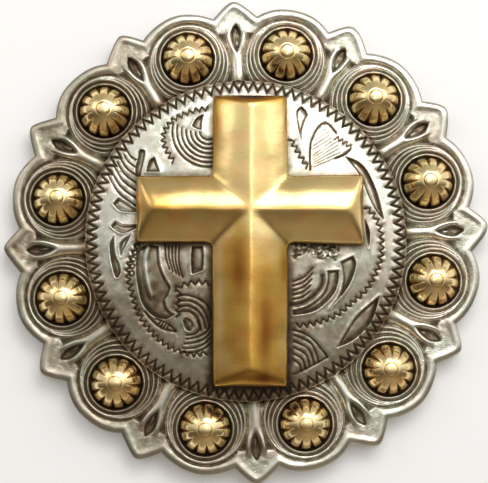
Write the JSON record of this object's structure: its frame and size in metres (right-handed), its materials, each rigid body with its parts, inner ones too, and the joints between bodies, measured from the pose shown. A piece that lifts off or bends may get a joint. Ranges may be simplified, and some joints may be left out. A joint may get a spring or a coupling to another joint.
{
  "type": "concho",
  "caption": "Round scalloped concho: an antiqued silver casting with gold fluted berries round its rim, scroll work, a bevelled gold cross and a threaded post in its back.",
  "frame": {"origin": "middle of the concho, on the plane that its flat back rim rests on", "axes": "+Z out of the face, +Y to the head of the cross, +X to the right as seen from the face"},
  "size_m": [0.038, 0.038, 0.0048],
  "materials": {
    "plate_silver": "antiqued silver plate: worn bright on the raised work, oxidised dark brown in the recesses, a fine sandy grain on the flats",
    "cross_gold": "satin gold plate, slightly hammered, worn pale along the ridges",
    "berry_gold": "gold plate, worn pale on the crowns, oxidised dark in the flutes",
    "post_steel": "plain satin nickel plate"
  },
  "bodies": {
    "root": {"base_plate": "plate_silver", "cross": "cross_gold", "berry_01": "berry_gold", "berry_02": "berry_gold", "berry_03": "berry_gold", "berry_04": "berry_gold", "berry_05": "berry_gold", "berry_06": "berry_gold", "berry_07": "berry_gold", "berry_08": "berry_gold", "berry_09": "berry_gold", "berry_10": "berry_gold", "berry_11": "berry_gold", "berry_12": "berry_gold", "screw_post": "post_steel"}
  },
  "joints": []
}
